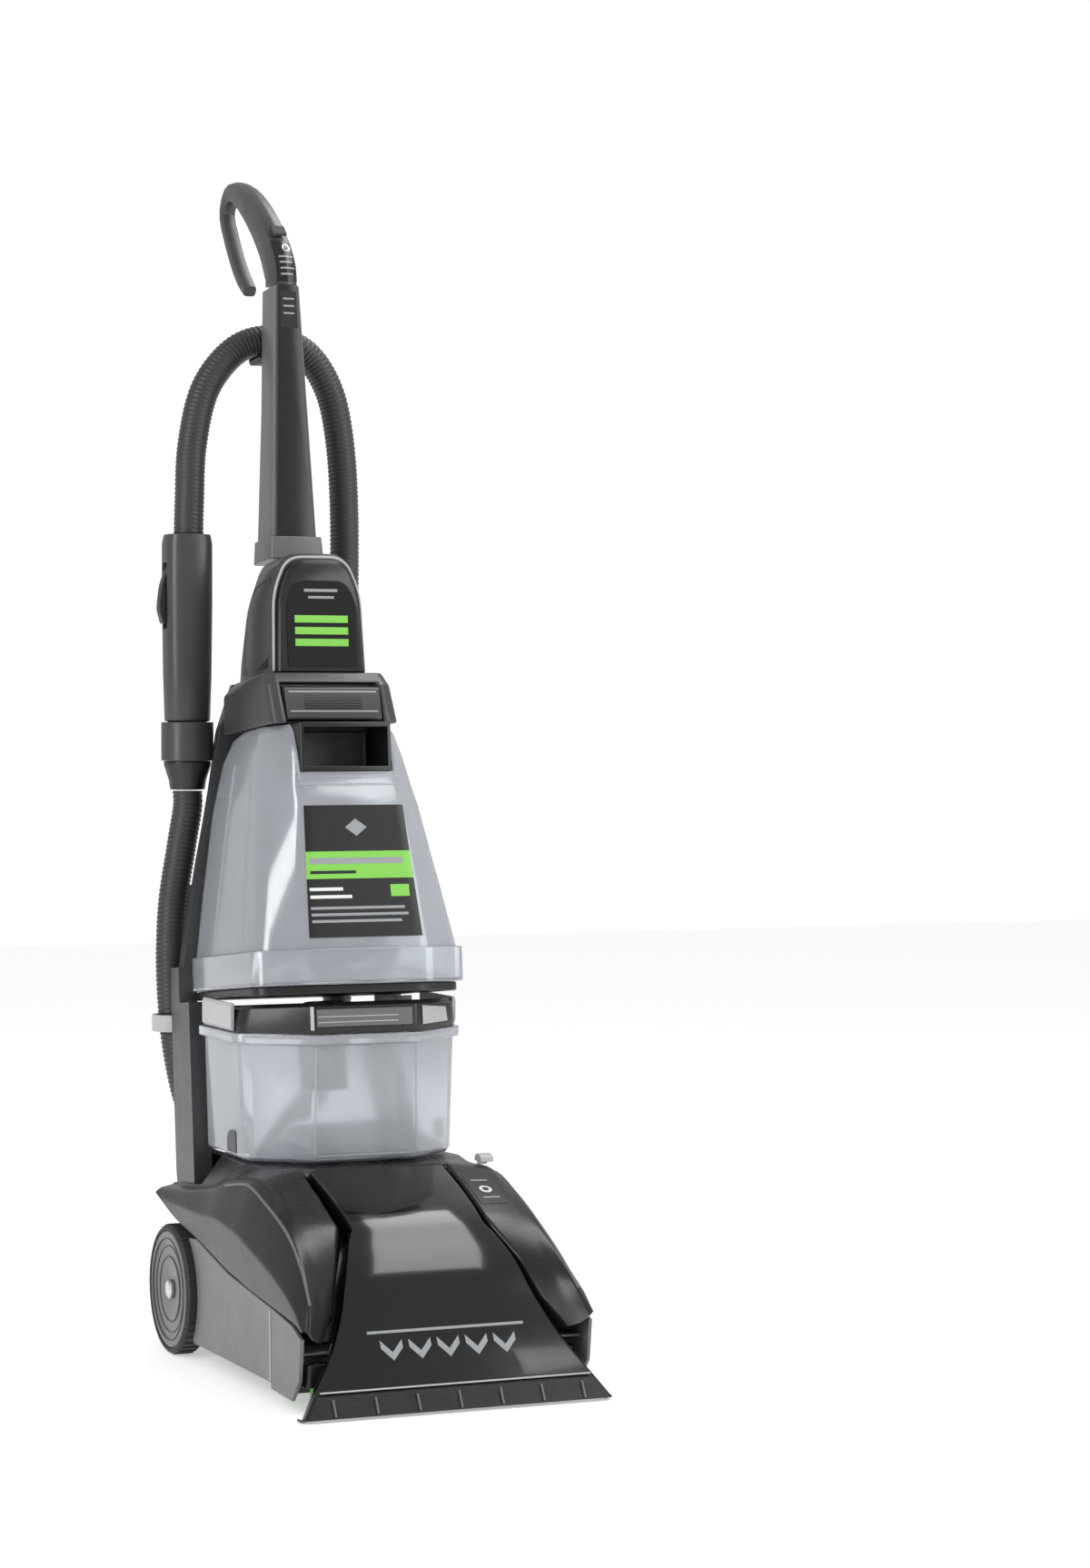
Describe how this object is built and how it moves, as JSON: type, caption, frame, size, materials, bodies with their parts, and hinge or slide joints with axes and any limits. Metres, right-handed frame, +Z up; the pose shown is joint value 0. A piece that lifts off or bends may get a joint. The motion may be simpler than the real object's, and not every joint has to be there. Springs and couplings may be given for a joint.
{
  "type": "upright carpet cleaner machine",
  "caption": "Upright carpet washer: leaning handle with clean-water tank, recovery tank on a wheeled base, clear suction nozzle, spinning brushes and a stowed hose.",
  "frame": {"origin": "centre of the machine's footprint, on the floor", "axes": "+X to the machine's left as it is pushed, seen from the front this is to the right; +Y towards the user behind the handle; +Z up"},
  "size_m": [0.2846, 0.6302, 1.1196],
  "materials": {
    "charcoal_plastic": "fine satin moulded plastic",
    "mid_grey_plastic": "fine satin moulded plastic",
    "light_grey_plastic": "fine satin moulded plastic",
    "black_plastic": "satin moulded plastic",
    "smoked_plastic": "polished smoked plastic",
    "clear_grey_plastic": "translucent smoke-grey plastic",
    "green_nylon": "nylon bristle green",
    "steel": "bright steel",
    "rubber": "moulded rubber",
    "hose_vinyl": "ribbed flexible vinyl"
  },
  "bodies": {
    "base": {"chassis": "charcoal_plastic", "hood": "charcoal_plastic", "side_skirt_left": "mid_grey_plastic", "side_skirt_right": "mid_grey_plastic", "brush_shroud": "mid_grey_plastic", "rear_cover": "charcoal_plastic", "pivot_bracket_left": "charcoal_plastic", "pivot_bracket_right": "charcoal_plastic", "axle": "steel", "motor_case": "steel", "fan_housing": "black_plastic", "turbine_housing": "charcoal_plastic"},
    "wheel_left": {"wheel_left": "mid_grey_plastic", "tyre_left": "rubber"},
    "wheel_right": {"wheel_right": "mid_grey_plastic", "tyre_right": "rubber"},
    "motor_rotor": {"motor_rotor": "steel"},
    "brush_drive": {"brush_drive": "black_plastic"},
    "brush_block": {"brush_block": "charcoal_plastic"},
    "brush_1": {"brush_1": "green_nylon"},
    "brush_2": {"brush_2": "green_nylon"},
    "brush_3": {"brush_3": "green_nylon"},
    "brush_4": {"brush_4": "green_nylon"},
    "brush_5": {"brush_5": "green_nylon"},
    "nozzle": {"nozzle_cover": "smoked_plastic", "nozzle_back": "black_plastic", "nozzle_lip": "mid_grey_plastic"},
    "release_pedal": {"release_pedal": "charcoal_plastic"},
    "brush_selector": {"brush_selector": "light_grey_plastic"},
    "recovery_tank": {"recovery_tub": "clear_grey_plastic", "recovery_lid": "charcoal_plastic", "lid_gasket": "rubber"},
    "tank_float": {"tank_float": "light_grey_plastic"},
    "lid_clip_left": {"lid_clip_left": "light_grey_plastic"},
    "lid_clip_right": {"lid_clip_right": "light_grey_plastic"},
    "handle": {"back_frame": "mid_grey_plastic", "tank_shelf": "black_plastic", "shoulder_housing": "mid_grey_plastic", "dome_surround": "light_grey_plastic", "dome_cover": "charcoal_plastic", "stem_collar": "light_grey_plastic", "stem_shell": "light_grey_plastic", "stem_front": "charcoal_plastic", "hook_grip": "mid_grey_plastic", "hose_hook": "black_plastic", "wand_clip": "mid_grey_plastic", "hose_guide": "light_grey_plastic", "cord_gland": "black_plastic", "hand_grip": "mid_grey_plastic", "hose": "hose_vinyl", "hose_cuff": "black_plastic"},
    "spray_trigger": {"spray_trigger": "light_grey_plastic"},
    "power_switch": {"power_switch": "black_plastic"},
    "tank_latch": {"tank_latch": "mid_grey_plastic"},
    "clean_tank": {"clean_tank": "clear_grey_plastic", "clean_tank_tray": "clear_grey_plastic", "tank_grip": "black_plastic"},
    "filler_cap": {"filler_cap": "black_plastic"},
    "grip_trigger": {"grip_trigger": "black_plastic"}
  },
  "joints": [
    {"name": "handle_recline", "type": "hinge", "parent": "base", "child": "handle", "pos_m": [0, 0.0952, 0.125], "axis": [-1, 0, 0], "range_deg": [0, 50]},
    {"name": "wheel_left_spin", "type": "hinge", "parent": "base", "child": "wheel_left", "pos_m": [-0.131, 0.0617, 0.0594], "axis": [1, 0, 0], "continuous": true},
    {"name": "wheel_right_spin", "type": "hinge", "parent": "base", "child": "wheel_right", "pos_m": [0.131, 0.0617, 0.0594], "axis": [1, 0, 0], "continuous": true},
    {"name": "motor_spin", "type": "hinge", "parent": "base", "child": "motor_rotor", "pos_m": [0, -0.0298, 0.08], "axis": [0, 0, 1], "continuous": true},
    {"name": "drive_spin", "type": "hinge", "parent": "base", "child": "brush_drive", "pos_m": [0.092, -0.2083, 0.05], "axis": [0, 0, 1], "continuous": true},
    {"name": "brush_block_float", "type": "slide", "parent": "base", "child": "brush_block", "axis": [0, 0, 1], "range_m": [0, 0.005]},
    {"name": "brush_1_spin", "type": "hinge", "parent": "brush_block", "child": "brush_1", "pos_m": [-0.092, -0.2428, 0.03], "axis": [0, 0, 1], "continuous": true},
    {"name": "brush_2_spin", "type": "hinge", "parent": "brush_block", "child": "brush_2", "pos_m": [-0.046, -0.2428, 0.03], "axis": [0, 0, 1], "continuous": true},
    {"name": "brush_3_spin", "type": "hinge", "parent": "brush_block", "child": "brush_3", "pos_m": [0, -0.2428, 0.03], "axis": [0, 0, 1], "continuous": true},
    {"name": "brush_4_spin", "type": "hinge", "parent": "brush_block", "child": "brush_4", "pos_m": [0.046, -0.2428, 0.03], "axis": [0, 0, 1], "continuous": true},
    {"name": "brush_5_spin", "type": "hinge", "parent": "brush_block", "child": "brush_5", "pos_m": [0.092, -0.2428, 0.03], "axis": [0, 0, 1], "continuous": true},
    {"name": "nozzle_release", "type": "slide", "parent": "base", "child": "nozzle", "axis": [0, -1, 0], "range_m": [0, 0.08]},
    {"name": "release_pedal_press", "type": "hinge", "parent": "base", "child": "release_pedal", "pos_m": [-0.06, 0.1312, 0.054], "axis": [-1, 0, 0], "range_deg": [0, 14], "stiffness_Nm_per_rad": 0.3, "springref_deg": -8.59},
    {"name": "brush_selector_slide", "type": "slide", "parent": "base", "child": "brush_selector", "axis": [0, -1, 0], "range_m": [0, 0.01]},
    {"name": "recovery_tank_slide", "type": "slide", "parent": "base", "child": "recovery_tank", "axis": [0, -1, 0], "range_m": [0, 0.22]},
    {"name": "float_rise", "type": "slide", "parent": "recovery_tank", "child": "tank_float", "axis": [0, 0, 1], "range_m": [0, 0.03]},
    {"name": "lid_clip_left_open", "type": "hinge", "parent": "recovery_tank", "child": "lid_clip_left", "pos_m": [-0.107, 0.0137, 0.3056], "axis": [0, -1, 0], "range_deg": [0, 40]},
    {"name": "lid_clip_right_open", "type": "hinge", "parent": "recovery_tank", "child": "lid_clip_right", "pos_m": [0.107, 0.0137, 0.3056], "axis": [0, 1, 0], "range_deg": [0, 40]},
    {"name": "spray_trigger_pull", "type": "hinge", "parent": "handle", "child": "spray_trigger", "pos_m": [0, 0.1842, 1.044], "axis": [-1, 0, 0], "range_deg": [0, 10], "stiffness_Nm_per_rad": 0.2, "springref_deg": -11.46},
    {"name": "power_switch_slide", "type": "slide", "parent": "handle", "child": "power_switch", "axis": [0, 0.7331, 0.6801], "range_m": [0, 0.005]},
    {"name": "tank_latch_press", "type": "hinge", "parent": "handle", "child": "tank_latch", "pos_m": [0, 0.01837, 0.6139], "axis": [-1, 0, 0], "range_deg": [0, 8], "stiffness_Nm_per_rad": 0.3, "springref_deg": -11.46},
    {"name": "clean_tank_slide", "type": "slide", "parent": "handle", "child": "clean_tank", "axis": [0, -0.9956, 0.0941], "range_m": [0, 0.22]},
    {"name": "filler_cap_turn", "type": "hinge", "parent": "clean_tank", "child": "filler_cap", "pos_m": [0, 0.05696, 0.57058], "axis": [0, 0.0941, 0.9956], "range_deg": [0, 120]},
    {"name": "grip_trigger_pull", "type": "hinge", "parent": "handle", "child": "grip_trigger", "pos_m": [-0.1075, 0.1622, 0.729], "axis": [0, -1, 0], "range_deg": [0, 10], "stiffness_Nm_per_rad": 0.15, "springref_deg": -11.46}
  ],
  "couplings": [
    {"joint": "brush_1_spin", "follows": "drive_spin", "ratio": -0.5},
    {"joint": "brush_2_spin", "follows": "drive_spin", "ratio": 0.5},
    {"joint": "brush_3_spin", "follows": "drive_spin", "ratio": -0.5},
    {"joint": "brush_4_spin", "follows": "drive_spin", "ratio": 0.5},
    {"joint": "brush_5_spin", "follows": "drive_spin", "ratio": -0.5}
  ]
}
